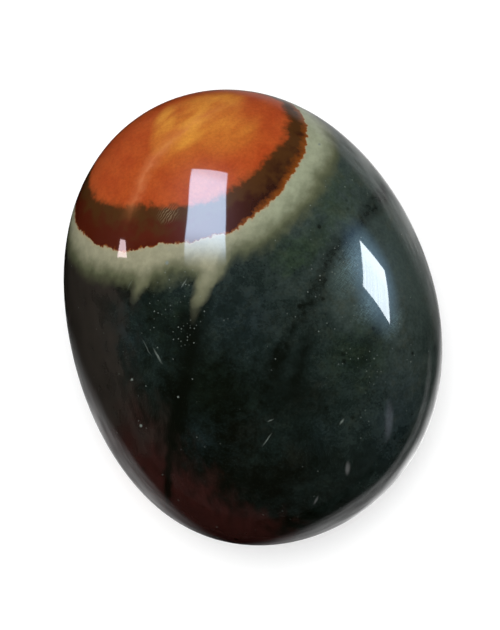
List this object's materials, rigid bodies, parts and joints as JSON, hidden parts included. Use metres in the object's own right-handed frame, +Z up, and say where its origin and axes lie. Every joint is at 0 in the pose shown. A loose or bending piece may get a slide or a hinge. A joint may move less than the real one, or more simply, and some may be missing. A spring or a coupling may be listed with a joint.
{
  "type": "polished jasper pebble",
  "caption": "Smooth egg-like polished stone with an orange, brown and sage banded end on a dark green body, lying on a small flat spot.",
  "frame": {"origin": "on the surface the stone rests on, under the middle of its outline", "axes": "+Y along the stone's length towards its orange end, +Z up through its thickness, +X across it"},
  "size_m": [0.0448, 0.056, 0.0276],
  "materials": {
    "jasper": "polished"
  },
  "bodies": {
    "root": {"pebble": "jasper"}
  },
  "joints": []
}
